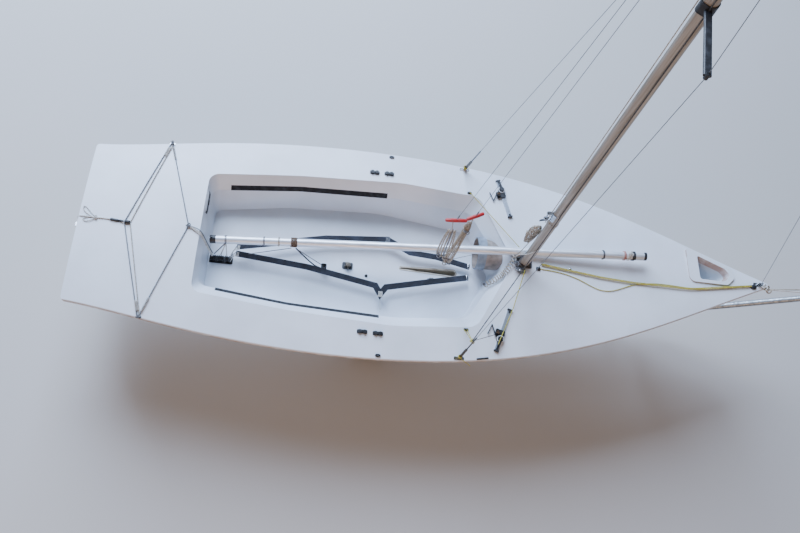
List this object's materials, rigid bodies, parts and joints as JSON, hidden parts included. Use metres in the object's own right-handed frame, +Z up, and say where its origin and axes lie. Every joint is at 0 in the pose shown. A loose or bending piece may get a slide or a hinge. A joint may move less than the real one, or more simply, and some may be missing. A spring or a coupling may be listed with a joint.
{
  "type": "two-person trapeze sailing dinghy on launching trolley",
  "caption": "Decked racing dinghy with open cockpit, stayed mast, unshipped boom and bow chute, standing on a two-wheel launching trolley with handle and prop leg.",
  "frame": {"origin": "middle of the whole object's footprint, on the ground under the trolley", "axes": "+X towards the bow, +Y to port, +Z up along the mast"},
  "size_m": [5.0199, 1.42, 6.6478],
  "materials": {
    "gelcoat": "glossy white gelcoat",
    "case": "satin moulded laminate",
    "mast_anodised": "dull grey-bronze anodising",
    "boom_aluminium": "satin bare aluminium",
    "black_plastic": "moulded black plastic",
    "grip_rubber": "textured black strip",
    "webbing": "woven polyester webbing",
    "stainless": "polished stainless steel",
    "wire": "stranded stainless wire",
    "track_aluminium": "clear anodised",
    "chute_cloth": "tan-grey tube",
    "chute_collar": "blue-grey collar",
    "galvanised": "galvanised steel tube",
    "pad_rubber": "ribbed rubber",
    "rim_plastic": "moulded white plastic",
    "tyre": "black rubber",
    "rope": "braided rope"
  },
  "bodies": {
    "boat": {"boom_aft_cap": "black_plastic", "boom_forward_cap": "black_plastic", "boom_tube": "boom_aluminium", "bow_fitting": "stainless", "bridle_eyes": "stainless", "cam_cleats": "black_plastic", "chained_hank": "rope", "chainplates": "stainless", "chute_collar": "chute_collar", "chute_mouth": "gelcoat", "chute_tube": "chute_cloth", "cockpit_blocks": "black_plastic", "cradle_frame": "galvanised", "cradle_pads": "pad_rubber", "daggerboard_case": "case", "deck_moulding": "gelcoat", "drain_bungs": "black_plastic", "foredeck_cord": "rope", "forestay": "wire", "gooseneck": "black_plastic", "halyard_coil": "rope", "handle_grips": "black_plastic", "hounds": "stainless", "hull_moulding": "gelcoat", "keel_chock": "pad_rubber", "keel_chock_post": "galvanised", "mainsheet_base": "black_plastic", "mainsheet_cord": "rope", "mast_sleeve": "mast_anodised", "mast_step": "black_plastic", "mast_tube": "mast_anodised", "masthead": "black_plastic", "port_grip_strip": "grip_rubber", "port_jib_car": "black_plastic", "port_jib_track": "track_aluminium", "port_shroud": "wire", "port_shroud_adjuster": "stainless", "port_toe_strap": "webbing", "port_track_stops": "black_plastic", "prop_leg": "galvanised", "rudder_gudgeons": "stainless", "side_fairleads": "black_plastic", "spreaders": "black_plastic", "starboard_grip_strip": "grip_rubber", "starboard_jib_car": "black_plastic", "starboard_jib_track": "track_aluminium", "starboard_shroud": "wire", "starboard_shroud_adjuster": "stainless", "starboard_toe_strap": "webbing", "starboard_track_stops": "black_plastic", "trapeze_hank": "rope", "trolley_axle": "galvanised", "trolley_drawbar": "galvanised", "trolley_handle": "galvanised", "wall_hatch": "black_plastic"},
    "port_wheel": {"port_rim": "rim_plastic", "port_tyre": "tyre"},
    "starboard_wheel": {"starboard_rim": "rim_plastic", "starboard_tyre": "tyre"}
  },
  "joints": [
    {"name": "port_wheel_spin", "type": "hinge", "parent": "boat", "child": "port_wheel", "pos_m": [-0.594, 0.465, 0.2], "axis": [0, 1, 0], "continuous": true},
    {"name": "starboard_wheel_spin", "type": "hinge", "parent": "boat", "child": "starboard_wheel", "pos_m": [-0.594, -0.465, 0.2], "axis": [0, 1, 0], "continuous": true}
  ]
}
